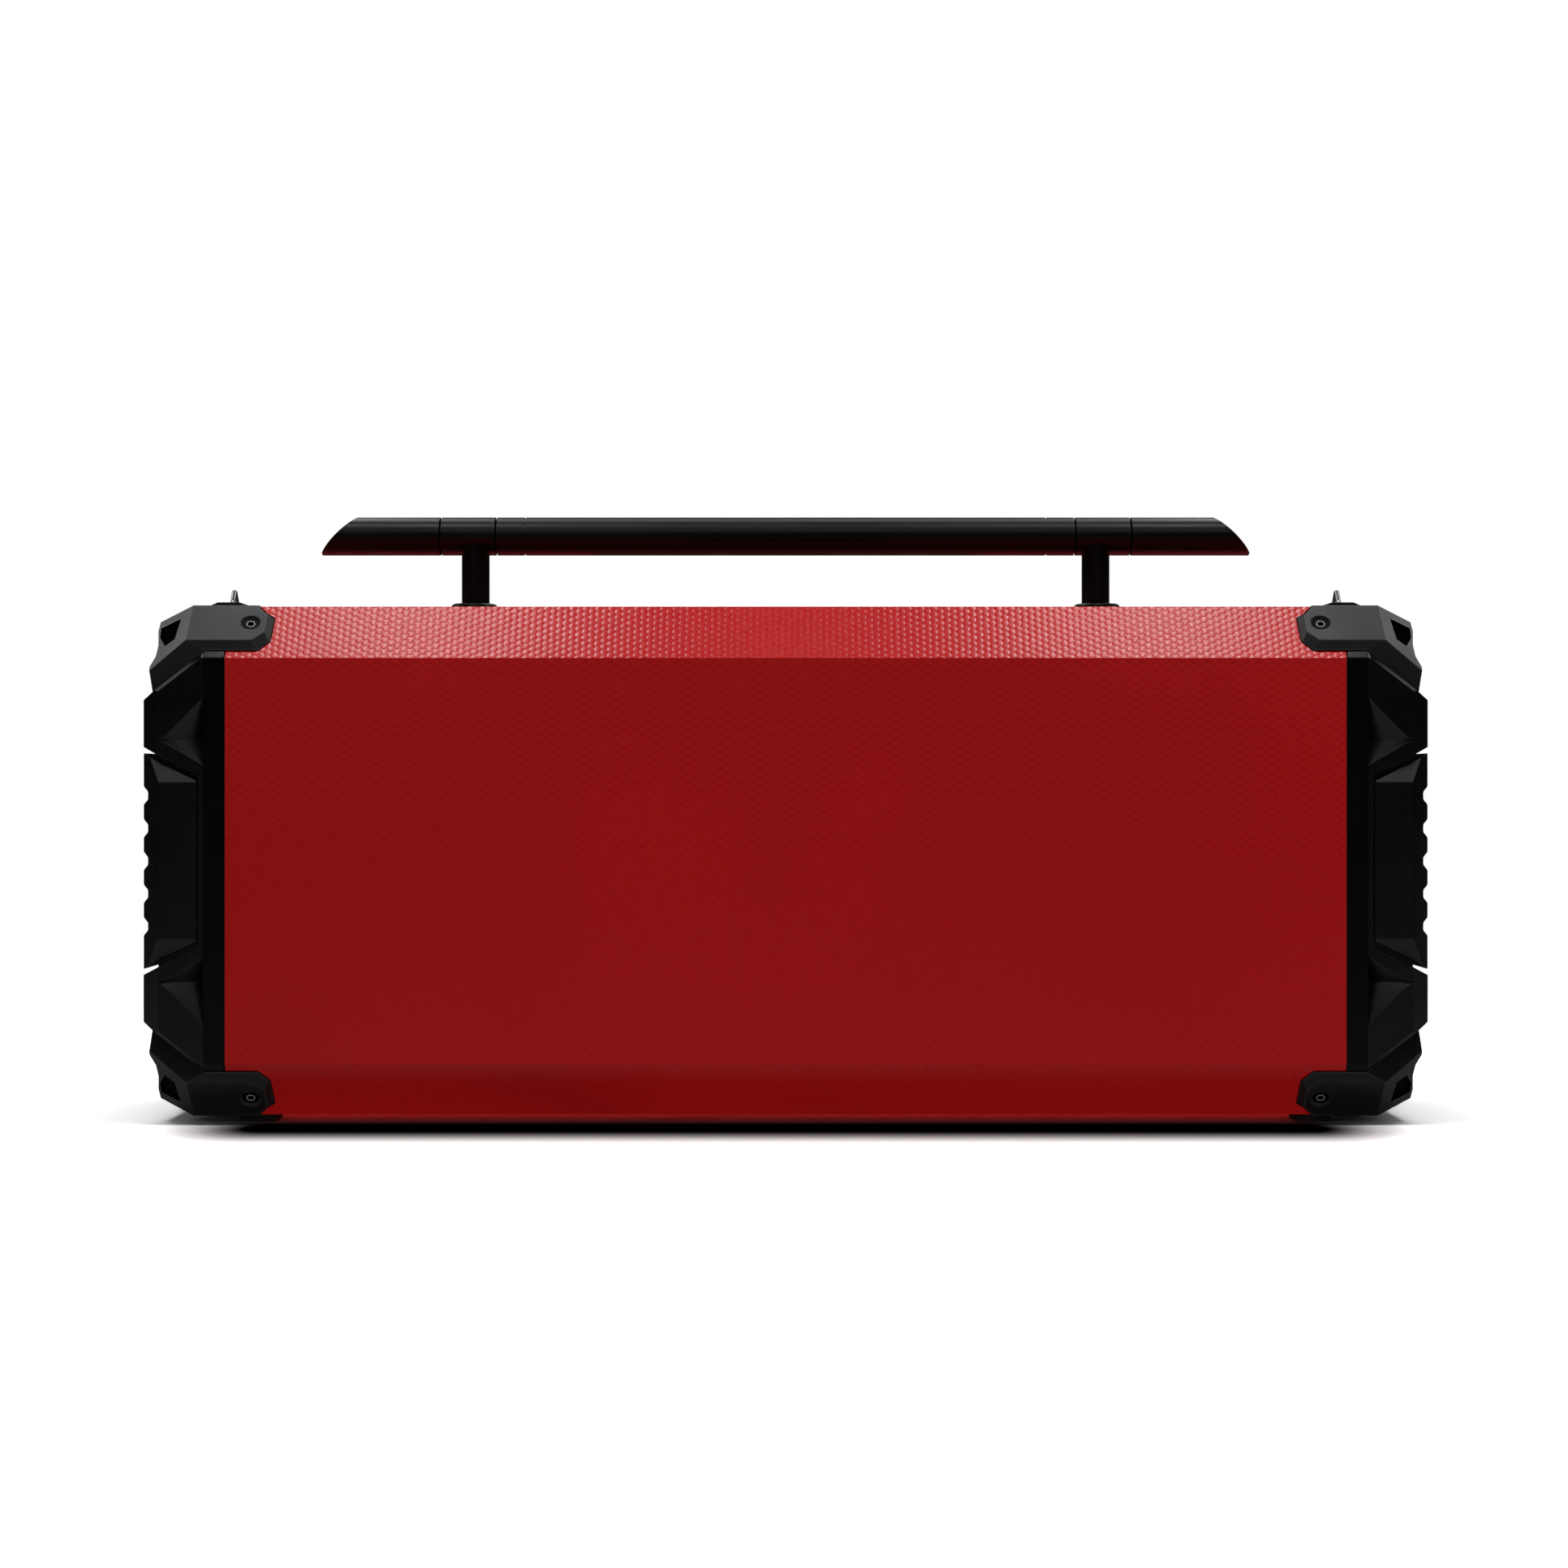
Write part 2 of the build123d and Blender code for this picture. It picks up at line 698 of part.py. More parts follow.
frame_length = 2 * window_half_length - 0.4
frame_height = 2 * window_half_height - 0.4
grille_length = 340.0
grille_height = 110.0
grille_ledge = -half_depth + 1.5
frame_back = -66.2
with BuildPart() as grille_frame:
    with BuildSketch(Plane.XZ.offset(-frame_back)):
        with Locations((0, middle)):
            RectangleRounded(frame_length, frame_height, 1.0)
            RectangleRounded(grille_length - 6, grille_height - 6, 4.0, mode=Mode.SUBTRACT)
    extrude(amount=half_depth + frame_back)
    with BuildSketch(Plane.XZ.offset(-baffle_front)):
        with Locations((-172, middle), (172, middle)):
            Rectangle(6, frame_height - 4)
    extrude(amount=frame_back * -1 + baffle_front)
    with BuildSketch(Plane.XZ.offset(-grille_ledge)):
        with Locations((0, middle)):
            RectangleRounded(grille_length, grille_height, 6.0)
    extrude(amount=2.0, mode=Mode.SUBTRACT)
save(grille_frame, "grille_frame")

with BuildPart() as front_grille:
    with BuildSketch(Plane.XZ.offset(-grille_ledge)):
        with Locations((0, middle)):
            RectangleRounded(grille_length - 0.4, grille_height - 0.4, 5.8)
    extrude(amount=1.0)
save(front_grille, "front_grille")

# ---------------------------------------------------------------- drivers
basket_profile = [
    (58, -66), (58, -64), (51, -64), (51, -57), (41, -30), (24, -30),
    (24, -32), (38.5, -32), (47.2, -57.5), (47.2, -66),
]
magnet_profile = [
    (0, -34), (12.0, -34), (12.0, -16), (14.6, -16), (14.6, -30), (40, -30), (40, -10), (0, -10),
]
cone_profile = [
    (42.0, -64.0), (41.4, -63.0), (13.6, -46.0), (13.6, -24.0), (12.8, -24.0), (12.8, -46.8),
    (8.0, -49.0), (0, -50.2), (0, -51.2), (8.5, -50.0), (13.4, -47.6),
]
surround_profile = [
    (51, -66), (51, -67), (47.4, -67.2), (44.6, -68.2), (42.5, -66.4), (42.4, -64.2),
    (43.0, -64.1), (43.4, -66.0), (44.8, -67.4), (46.8, -66.0),
]
for side_name, side in sides.items():
    plain_basket = turned(side * woofer_x, middle, basket_profile).part
    with BuildPart() as basket:
        add(plain_basket)
        add(flange_screw_holes, mode=Mode.SUBTRACT)
    save(basket, f"woofer_basket_{side_name}")
    save(turned(side * woofer_x, middle, magnet_profile), f"woofer_magnet_{side_name}")
    save(turned(side * woofer_x, middle, cone_profile), f"woofer_cone_{side_name}")
    save(turned(side * woofer_x, middle, surround_profile), f"woofer_surround_{side_name}")

screw_offset = screw_ring_radius / sqrt(2)
driver_screw_planes = [
    Plane(
        origin=(side * woofer_x + sx * screw_offset, -67.5, middle + sz * screw_offset),
        x_dir=(1, 0, 0),
        z_dir=(0, -1, 0),
    )
    for side in (-1, 1)
    for sx in (-1, 1)
    for sz in (-1, 1)
]
driver_screws = screw_group(driver_screw_planes, 2.4, 1.5, 1.25, 6.0, 1.0)
save(driver_screws, "driver_screws")

tweeter_profile = [(22, -66), (22, -64), (20, -64), (20, -48), (0, -48), (0, -58), (13.5, -58), (13.5, -66)]
dome_profile = [(13.2, -62), (12.0, -64.0), (9.0, -66.6), (5.0, -68.0), (0, -68.4), (0, -60), (13.2, -60)]
with BuildPart() as tweeter_housings:
    for x, z in tweeter_spots:
        add(turned(x, z, tweeter_profile).part)
save(tweeter_housings, "tweeter_housings")
with BuildPart() as tweeter_domes:
    for x, z in tweeter_spots:
        add(turned(x, z, dome_profile).part)
save(tweeter_domes, "tweeter_domes")

# ---------------------------------------------------------------- control panel and buttons
button_names = ["power", "pairing", "volume_down", "play", "volume_up"]
button_pitch = 22.0
button_length = 16.0
button_width = 12.0
button_gap = 0.25
button_travel = 1.2
button_proud = 0.8
panel_thickness = 2.2
panel_flange = 1.2
retainer = 1.0
panel_under = top - panel_thickness
flange_low = top - cavity_inset - panel_flange
button_spots = [((index - 2) * button_pitch, panel_y) for index in range(len(button_names))]
with BuildPart() as control_panel:
    with Locations((0, panel_y, top - cavity_inset)):
        Box(
            panel_length - 0.3,
            panel_width - 0.3,
            cavity_inset + 0.1,
            align=(Align.CENTER, Align.CENTER, Align.MIN),
        )
        Box(
            panel_length + 8,
            panel_width + 2,
            panel_flange,
            align=(Align.CENTER, Align.CENTER, Align.MAX),
        )
    with Locations((0, panel_y, flange_low)):
        Box(
            panel_length - 8,
            panel_width - 6,
            panel_under - flange_low,
            align=(Align.CENTER, Align.CENTER, Align.MIN),
            mode=Mode.SUBTRACT,
        )
    with BuildSketch(Plane.XY.offset(top + 0.1)) as holes:
        with Locations(*button_spots):
            RectangleRounded(button_length, button_width, 2.5)
    extrude(holes.sketch, amount=-4, mode=Mode.SUBTRACT)
save(control_panel, "control_panel")

for name, (x, y) in zip(button_names, button_spots):
    with BuildPart() as button:
        with BuildSketch(Plane.XY.offset(panel_under - 0.05)) as cap_outline:
            with Locations((x, y)):
                RectangleRounded(button_length - 2 * button_gap, button_width - 2 * button_gap, 2.25)
        extrude(cap_outline.sketch, amount=panel_thickness + button_proud + 0.05)
        fillet(button.faces().sort_by(Axis.Z)[-1].edges(), radius=0.5)
        with BuildSketch(Plane.XY.offset(panel_under - 0.05)) as skirt:
            with Locations((x, y)):
                RectangleRounded(button_length + 2, button_width + 2, 2.5)
        extrude(skirt.sketch, amount=-retainer)
    save(button, f"button_{name}")

board_top = panel_under - 0.05 - retainer - button_travel - 1.6
with BuildPart() as control_board:
    with Locations((0, panel_y, board_top)):
        Box(panel_length - 12, 18.0, 1.6, align=(Align.CENTER, Align.CENTER, Align.MAX))
    with Locations(*[(x, y, board_top) for x, y in button_spots]):
        Cylinder(2.0, 1.5, align=(Align.CENTER, Align.CENTER, Align.MIN))
    with Locations(*[(x, panel_y, board_top) for x in (-57.0, 57.0)]):
        Box(3.0, 18.0, flange_low - board_top, align=(Align.CENTER, Align.CENTER, Align.MIN))
save(control_board, "control_board")

# ---------------------------------------------------------------- ports and their cover
cover_thickness = 2.2
cover_length = 60.0
hinge_y = port_y + 9.6
hinge_z = top - 1.3
pin_radius = 0.6
barrel_radius = 1.3
recess_floor = top - 2.7
cover_front = port_y - 10.4
socket_names = {"charge": -18.0, "line_in": 0.0, "microphone": 18.0}
socket_y = port_y - 2.0
line_in_radius = 1.8
microphone_radius = 3.2
socket_depth = 14.0
with BuildPart() as port_plate:
    with Locations((0, port_y, top - cavity_inset)):
        Box(
            port_length - 0.3,
            port_width - 0.3,
            cavity_inset + 0.1,
            align=(Align.CENTER, Align.CENTER, Align.MIN),
        )
        Box(
            port_length + 8,
            port_width + 2,
            panel_flange,
            align=(Align.CENTER, Align.CENTER, Align.MAX),
        )
    with Locations((0, (cover_front - 0.3 + hinge_y + barrel_radius + 0.4) / 2, recess_floor)):
        Box(
            cover_length + 0.6,
            hinge_y + barrel_radius + 0.4 - cover_front + 0.3,
            4,
            align=(Align.CENTER, Align.CENTER, Align.MIN),
            mode=Mode.SUBTRACT,
        )
    with Locations((0, socket_y, recess_floor)):
        with Locations((socket_names["line_in"], 0)):
            Cylinder(3.6, 8, mode=Mode.SUBTRACT)
        with Locations((socket_names["microphone"], 0)):
            Cylinder(5.2, 8, mode=Mode.SUBTRACT)
        with Locations((socket_names["charge"], 0)):
            Box(12.0, 6.0, 8, mode=Mode.SUBTRACT)
    with Locations(Plane(origin=(-cover_length / 2 - 2, hinge_y, hinge_z), z_dir=(-1, 0, 0))):
        Cylinder(
            pin_radius,
            cover_length + 4,
            align=(Align.CENTER, Align.CENTER, Align.MAX),
            mode=Mode.SUBTRACT,
        )
save(port_plate, "port_plate")

with BuildPart() as port_hinge_pin:
    with Locations(Plane(origin=(-cover_length / 2 - 2, hinge_y, hinge_z), z_dir=(-1, 0, 0))):
        Cylinder(pin_radius, cover_length + 4, align=(Align.CENTER, Align.CENTER, Align.MAX))
save(port_hinge_pin, "port_hinge_pin")

with BuildPart() as port_cover:
    with Locations((0, (cover_front + hinge_y) / 2, hinge_z + 1.3)):
        Box(
            cover_length,
            hinge_y - cover_front,
            cover_thickness,
            align=(Align.CENTER, Align.CENTER, Align.MAX),
        )
    fillet(port_cover.edges().filter_by(Axis.Z).group_by(Axis.Y)[0], radius=3.0)
    with Locations(Plane(origin=(-cover_length / 2, hinge_y, hinge_z), z_dir=(-1, 0, 0))):
        Cylinder(barrel_radius, cover_length, align=(Align.CENTER, Align.CENTER, Align.MAX))
        Cylinder(
            pin_radius + 0.05,
            cover_length,
            align=(Align.CENTER, Align.CENTER, Align.MAX),
            mode=Mode.SUBTRACT,
        )
    with Locations((0, cover_front, top)):
        Box(14, 1.6, 0.8, align=(Align.CENTER, Align.MIN, Align.MIN))
save(port_cover, "port_cover")

socket_top = recess_floor - 0.1
with BuildPart() as port_sockets:
    with Locations((socket_names["line_in"], socket_y, socket_top)):
        Cylinder(3.4, socket_depth, align=(Align.CENTER, Align.CENTER, Align.MAX))
        Cylinder(
            line_in_radius,
            socket_depth - 1.5,
            align=(Align.CENTER, Align.CENTER, Align.MAX),
            mode=Mode.SUBTRACT,
        )
    with Locations((socket_names["microphone"], socket_y, socket_top)):
        Cylinder(5.0, socket_depth + 4, align=(Align.CENTER, Align.CENTER, Align.MAX))
        Cylinder(
            microphone_radius,
            socket_depth + 2.5,
            align=(Align.CENTER, Align.CENTER, Align.MAX),
            mode=Mode.SUBTRACT,
        )
    with BuildSketch(Plane.XY.offset(socket_top)) as charge_outline:
        with Locations((socket_names["charge"], socket_y)):
            Rectangle(11.6, 5.6)
            SlotOverall(9.0, 3.2, mode=Mode.SUBTRACT)
    extrude(charge_outline.sketch, amount=-7.0)
    with Locations((0, socket_y, socket_top - socket_depth - 4)):
        Box(52.0, 14.0, 1.6, align=(Align.CENTER, Align.CENTER, Align.MAX))
    with Locations((socket_names["charge"], socket_y, socket_top - 7.0)):
        Box(11.6, 5.6, socket_depth - 3.0, align=(Align.CENTER, Align.CENTER, Align.MAX))
    with Locations((socket_names["line_in"], socket_y, socket_top - socket_depth)):
        Box(4.0, 4.0, 4.0, align=(Align.CENTER, Align.CENTER, Align.MAX))
save(port_sockets, "port_sockets")

# ---------------------------------------------------------------- power and amplifier
floor_inside = foot_height + cavity_inset
battery_size = (150.0, 38.0, 40.0)
battery_y = 30.0
with BuildPart() as battery_pack:
    with Locations((0, battery_y, floor_inside)):
        Box(*battery_size, align=(Align.CENTER, Align.CENTER, Align.MIN))
    fillet(battery_pack.edges().filter_by(Axis.X), radius=4.0)
save(battery_pack, "battery_pack")

strap_width = 20.0
strap_thickness = 1.6
with BuildPart() as battery_bracket:
    with Locations((0, battery_y, floor_inside)):
        Box(
            strap_width,
            battery_size[1] + 2 * strap_thickness + 0.4,
            battery_size[2] + strap_thickness + 0.2,
            align=(Align.CENTER, Align.CENTER, Align.MIN),
        )
        Box(
            strap_width,
            battery_size[1] + 0.4,
            battery_size[2] + 0.2,
            align=(Align.CENTER, Align.CENTER, Align.MIN),
            mode=Mode.SUBTRACT,
        )
save(battery_bracket, "battery_bracket")

board_length = 120.0
board_height = 56.0
board_thickness = 1.6
board_y = 60.0
board_z = middle + 22.0
rear_inside = half_depth - cavity_inset
with BuildPart() as amplifier_board:
    with Locations((0, board_y, board_z)):
        Box(board_length, board_thickness, board_height, align=(Align.CENTER, Align.MAX, Align.CENTER))
        with Locations((-18, -board_thickness, 0)):
            Box(52, 16, 30, align=(Align.CENTER, Align.MAX, Align.CENTER))
        with Locations((38, -board_thickness, 12), (38, -board_thickness, -10)):
            Cylinder(8, 24, rotation=(90, 0, 0), align=(Align.CENTER, Align.CENTER, Align.MIN))
        with GridLocations(board_length - 10, 0, 2, 1):
            with Locations((0, 0, 22), (0, 0, -22)):
                Cylinder(
                    3.0,
                    rear_inside - board_y,
                    rotation=(-90, 0, 0),
                    align=(Align.CENTER, Align.CENTER, Align.MIN),
                )
save(amplifier_board, "amplifier_board")

wire_radius = 1.0
with BuildPart() as speaker_wires:
    for side in (-1, 1):
        with BuildLine() as route:
            FilletPolyline(
                (side * 61.4, board_y - 0.8, board_z),
                (side * 84.0, board_y - 4.0, board_z - 8.0),
                (side * 100.0, board_y - 26.0, board_z - 18.0),
                (side * 104.0, -9.0, middle),
                radius=8.0,
            )
        with BuildSketch(Plane(origin=route.line @ 0, z_dir=route.line % 0)):
            Circle(wire_radius)
        sweep()
save(speaker_wires, "speaker_wires")
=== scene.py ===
"""Party speaker: materials, fine meshes, studio floor, lights and camera, in metres."""

from math import cos, pi, radians, sin, sqrt

import bpy
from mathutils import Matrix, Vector


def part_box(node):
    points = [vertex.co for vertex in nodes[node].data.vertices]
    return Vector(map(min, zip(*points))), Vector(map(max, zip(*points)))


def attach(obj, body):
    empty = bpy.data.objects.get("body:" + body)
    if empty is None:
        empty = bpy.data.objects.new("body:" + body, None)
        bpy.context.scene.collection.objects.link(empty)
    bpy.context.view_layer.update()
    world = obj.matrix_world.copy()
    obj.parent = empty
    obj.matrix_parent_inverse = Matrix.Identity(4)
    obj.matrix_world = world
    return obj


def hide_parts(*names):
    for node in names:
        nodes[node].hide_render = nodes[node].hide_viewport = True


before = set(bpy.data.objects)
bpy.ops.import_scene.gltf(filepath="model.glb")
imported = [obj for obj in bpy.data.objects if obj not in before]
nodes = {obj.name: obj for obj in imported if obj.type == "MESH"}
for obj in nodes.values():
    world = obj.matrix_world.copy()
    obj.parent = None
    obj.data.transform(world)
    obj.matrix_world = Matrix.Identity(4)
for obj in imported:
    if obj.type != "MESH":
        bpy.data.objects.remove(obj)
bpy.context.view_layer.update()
scene = bpy.context.scene
MM = 0.001

shell_low, shell_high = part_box("cabinet_covering")
half_depth = shell_high.y
middle = (shell_low.z + shell_high.z) / 2

# ------------------------------------------------------------------ shader helpers


class Shader:
    """A node material, built one node at a time."""

    def __init__(self, name):
        self.material = bpy.data.materials.new(name)
        self.material.use_nodes = True
        self.tree = self.material.node_tree
        self.surface = self.tree.nodes["Principled BSDF"]

    def node(self, kind, **settings):
        made = self.tree.nodes.new(kind)
        for key, value in settings.items():
            setattr(made, key, value)
        return made

    def join(self, source, target):
        self.tree.links.new(source, target)

    def put(self, target, value):
        if isinstance(value, bpy.types.NodeSocket):
            self.join(value, target)
        else:
            target.default_value = value

    def math(self, operation, a, b):
        made = self.node("ShaderNodeMath", operation=operation)
        self.put(made.inputs[0], a)
        self.put(made.inputs[1], b)
        return made.outputs[0]

    def vector(self, operation, a, b=None):
        made = self.node("ShaderNodeVectorMath", operation=operation)
        self.put(made.inputs[0], a)
        if b is not None:
            self.put(made.inputs[1], b)
        if operation in ("LENGTH", "DOT_PRODUCT"):
            return made.outputs["Value"]
        return made.outputs["Vector"]

    def ramp(self, value, low, high, to_low=0.0, to_high=1.0):
        made = self.node("ShaderNodeMapRange", interpolation_type="SMOOTHSTEP")
        for index, item in enumerate((value, low, high, to_low, to_high)):
            self.put(made.inputs[index], item)
        return made.outputs[0]

    def position(self):
        return self.node("ShaderNodeTexCoord").outputs["Object"]

    def noise(self, scale, detail=3.0, roughness=0.5, stretch=None):
        place = self.position()
        if stretch:
            place = self.vector("MULTIPLY", place, stretch)
        made = self.node("ShaderNodeTexNoise")
        made.inputs["Scale"].default_value = scale
        made.inputs["Detail"].default_value = detail
        made.inputs["Roughness"].default_value = roughness
        self.join(place, made.inputs["Vector"])
        return made.outputs["Fac"]

    def mix(self, factor, a, b):
        made = self.node("ShaderNodeMix", data_type="RGBA")
        self.put(made.inputs["Factor"], factor)
        self.put(made.inputs["A"], a)
        self.put(made.inputs["B"], b)
        return made.outputs["Result"]

    def bump(self, height, distance, strength=1.0):
        made = self.node("ShaderNodeBump")
        made.inputs["Distance"].default_value = distance
        made.inputs["Strength"].default_value = strength
        self.join(height, made.inputs["Height"])
        return made.outputs["Normal"]

    def set(self, **values):
        for key, value in values.items():
            self.put(self.surface.inputs[key.replace("_", " ")], value)


def rgb(red, green, blue):
    return (red, green, blue, 1.0)


def grey(level):
    return rgb(level, level, level)


# ------------------------------------------------------------------ materials

EDGE_WEAR_AND_HIGHLIGHT_REACH = 0.7 * MM  # how far from an edge the lightening of worn edges and painted edge highlights reaches
EDGE_WEAR_AND_HIGHLIGHT_LIGHTER = 7  # how much lighter a fully worn and painted-highlight edge is


def edge_mask(shader, radius):
    """1 on sharp edges and 0 on flats, from how far a rounded normal turns."""
    rounded = shader.node("ShaderNodeBevel", samples=4)
    rounded.inputs["Radius"].default_value = radius
    flat = shader.node("ShaderNodeNewGeometry").outputs["Normal"]
    agreement = shader.vector("DOT_PRODUCT", rounded.outputs["Normal"], flat)
    return shader.ramp(agreement, 0.995, 0.9)


def moulded(name, colour, roughness, grain=0.00002, scale=1600, specular=0.5, edge_wear_and_highlight=0.0):
    """Moulded plastic or rubber: fine grain, faint colour drift, uneven sheen, sharp edges
    lightened, partly worn and partly painted highlight lines.

    grain is the depth of the surface grain in metres, and scale how fine it is.
    edge_wear_and_highlight is how strongly the sharp edges are lightened, partly as worn edges
    and partly as painted highlight lines.
    """
    shader = Shader(name)
    drift = shader.noise(14, 3)
    lighter = tuple(min(1.0, part * 1.35) for part in colour)
    body = shader.mix(shader.ramp(drift, 0.35, 0.7), rgb(*colour), rgb(*lighter))
    sheen = shader.ramp(shader.noise(45, 4), 0.3, 0.7, roughness - 0.03, roughness + 0.03)
    # Sharp edges lightened: partly worn plastic, partly painted highlight lines on the facet
    # edges.
    if edge_wear_and_highlight:
        edge = shader.math("MULTIPLY", edge_mask(shader, EDGE_WEAR_AND_HIGHLIGHT_REACH), shader.noise(220, 3))
        edge = shader.math("MULTIPLY", edge, edge_wear_and_highlight)
        body = shader.mix(edge, body, rgb(*(part * EDGE_WEAR_AND_HIGHLIGHT_LIGHTER for part in colour)))
        sheen = shader.math("SUBTRACT", sheen, shader.math("MULTIPLY", edge, 0.1))
    shader.set(
        Base_Color=body,
        Roughness=sheen,
        Normal=shader.bump(shader.noise(scale, 2, 0.6), grain),
    )
    shader.surface.inputs["Specular IOR Level"].default_value = specular
    return shader.material


def metal(name, colour, roughness, stretch=None, metallic=1.0):
    """Metal with fine marks, drawn out along the axis that stretch makes small."""
    shader = Shader(name)
    marks = shader.noise(260, 4, 0.6, stretch)
    shader.set(
        Base_Color=rgb(*colour),
        Roughness=shader.ramp(marks, 0.3, 0.7, roughness - 0.06, roughness + 0.08),
        Normal=shader.bump(marks, 0.00001, 0.5),
    )
    shader.surface.inputs["Metallic"].default_value = metallic
    return shader.material


CELL_WIDTH = 4.15 * MM
CELL_HEIGHT = 2.74 * MM


def hexagon_emboss(shader, uv, width, height):
    """Distance to the nearest cell centre of a staggered lattice. uv is in metres."""
    scaled = shader.vector("DIVIDE", uv, (width, height, 1.0))
    distances = []
    for offset in (0.0, 0.5):
        shifted = shader.vector("ADD", scaled, (offset, offset, 0.0))
        local = shader.vector("FRACTION", shifted)
        local = shader.vector("SUBTRACT", local, (0.5, 0.5, 0.0))
        flat = shader.vector("MULTIPLY", local, (width, height, 0.0))
        distances.append(shader.vector("LENGTH", flat))
    return shader.math("MINIMUM", *distances)


def covering_material():
    """Red vinyl pressed with small honeycomb cells, with painted shade darkening the grooves
    between the cells.
    """
    shader = Shader("red_embossed_vinyl")
    uv = shader.node("ShaderNodeUVMap", uv_map="unrolled").outputs["UV"]
    to_centre = hexagon_emboss(shader, uv, CELL_WIDTH, CELL_HEIGHT)
    dome = shader.ramp(to_centre, 1.45 * MM, 0.35 * MM)
    grain = shader.noise(1500, 3, 0.6)
    tone = shader.ramp(shader.noise(9, 2), 0.35, 0.65)
    body = shader.mix(tone, rgb(0.67, 0.003, 0.0042), rgb(0.72, 0.0034, 0.0047))
    # Painted shade: the colour is darker in the grooves between the cells, where the relief would
    # shade them.
    painted_shade_between_cells = shader.ramp(to_centre, 1.1 * MM, 1.5 * MM)
    colour = shader.mix(painted_shade_between_cells, body, rgb(0.58, 0.0025, 0.0035))
    relief = shader.math("ADD", dome, shader.math("MULTIPLY", grain, 0.25))
    shader.set(
        Base_Color=colour,
        Roughness=shader.ramp(grain, 0.3, 0.7, 0.17, 0.24),
        Normal=shader.bump(relief, 0.00006, 0.8),
    )
    shader.surface.inputs["Specular IOR Level"].default_value = 0.33
    return shader.material


black_guard = moulded(
    "guard_plastic", (0.010, 0.0108, 0.0106), 0.36, 0.000025, specular=0.34, edge_wear_and_highlight=2.0
)
black_cap = moulded("cap_plastic", (0.0018, 0.0019, 0.0017), 0.3, edge_wear_and_highlight=2.0)
black_grip = moulded("grip_rubber", (0.0018, 0.0019, 0.0017), 0.32, edge_wear_and_highlight=1.0)
black_strip = moulded("strip_plastic", (0.001, 0.001, 0.001), 0.3, 0.000006, specular=0.25)
black_handle = moulded(
    "handle_coat", (0.0035, 0.0036, 0.0034), 0.34, 0.0000003, specular=0.15
)
black_rubber = moulded("foot_rubber", (0.008, 0.008, 0.008), 0.7, 0.00004)
black_panel = moulded("panel_plastic", (0.012, 0.012, 0.012), 0.3, 0.000008)
button_rubber = moulded("button_rubber", (0.014, 0.014, 0.015), 0.55, 0.00002)
inner_plastic = moulded("inner_plastic", (0.012, 0.012, 0.012), 0.6)
grille_coat = moulded("grille_powder_coat", (0.045, 0.045, 0.046), 0.42, 0.00002, 2600)
cone_pulp = moulded("cone_pulp", (0.05, 0.05, 0.052), 0.7, 0.00006, 700)
dome_silk = moulded("dome_silk", (0.03, 0.03, 0.034), 0.6, 0.00003, 1800)
board_green = moulded("board_laminate", (0.01, 0.08, 0.03), 0.4)
battery_blue = moulded("battery_wrap", (0.01, 0.03, 0.12), 0.35)
wire_red = moulded("wire_insulation", (0.25, 0.01, 0.01), 0.45)
icon_print = moulded("icon_print", (0.8, 0.8, 0.8), 0.5)
screw_black = metal("screw_black_oxide", (0.008, 0.008, 0.0085), 0.42)
# Steel-like, and lightened to act as a painted highlight on the guard screws' socket edges.
socket_rim_highlight = metal("socket_rim_steel_painted_highlight", (0.8, 0.81, 0.81), 0.4, metallic=0.35)
ring_steel = metal("ring_steel", (0.52, 0.52, 0.53), 0.2)
plain_steel = metal("plain_steel", (0.4, 0.4, 0.41), 0.32)
rod_dark = metal("rod_dark_anodised", (0.02, 0.02, 0.02), 0.4, (0.05, 1, 1))
ferrite = metal("magnet_ferrite", (0.06, 0.06, 0.065), 0.55, metallic=0.3)
red_vinyl = covering_material()

# The longest key that a node's name starts with gives its material.
cad_materials = {
    "cabinet_shell": inner_plastic, "front_baffle": inner_plastic, "cabinet_covering": red_vinyl,
    "end_strip": black_strip, "end_cap": black_cap, "side_grip": black_grip,
    "corner_guard": black_guard, "guard_screws": screw_black, "end_cap_screws": screw_black,
    "baffle_screws": screw_black, "driver_screws": screw_black, "handle_bolts": screw_black,
    "strap_ring": ring_steel, "strap_lug": plain_steel, "handle_tip": black_handle,
    "handle_bracket": black_handle, "handle_base": black_handle, "handle_grip": black_handle,
    "handle_core": rod_dark, "feet": black_rubber, "baffle_gasket": black_rubber,
    "grille_frame": black_panel, "front_grille": grille_coat, "woofer_basket": grille_coat,
    "woofer_magnet": ferrite, "woofer_cone": cone_pulp, "woofer_surround": black_rubber,
    "tweeter_housings": inner_plastic, "tweeter_domes": dome_silk, "control_panel": black_panel,
    "port_plate": black_panel, "button": button_rubber, "port_cover": black_rubber,
    "port_hinge_pin": plain_steel, "port_sockets": inner_plastic, "control_board": board_green,
    "amplifier_board": board_green, "battery_pack": battery_blue, "battery_bracket": plain_steel,
    "speaker_wires": wire_red,
}
for node_name, obj in nodes.items():
    fits = [key for key in cad_materials if node_name.startswith(key)]
    chosen = cad_materials[max(fits, key=len)]
    obj.data.materials.clear()
    obj.data.materials.append(chosen)


# ------------------------------------------------------------------ radii of the CAD nodes


def smooth(obj):
    for polygon in obj.data.polygons:
        polygon.use_smooth = True


def bevel_edges(obj, name, width, sharper_than):
    """Two-segment radius on the edges that turn by more than so many degrees."""
    modifier = obj.modifiers.new(name, "BEVEL")
    modifier.width = width
    modifier.segments = 2
    modifier.limit_method = "ANGLE"
    modifier.angle_limit = radians(sharper_than)
    return modifier


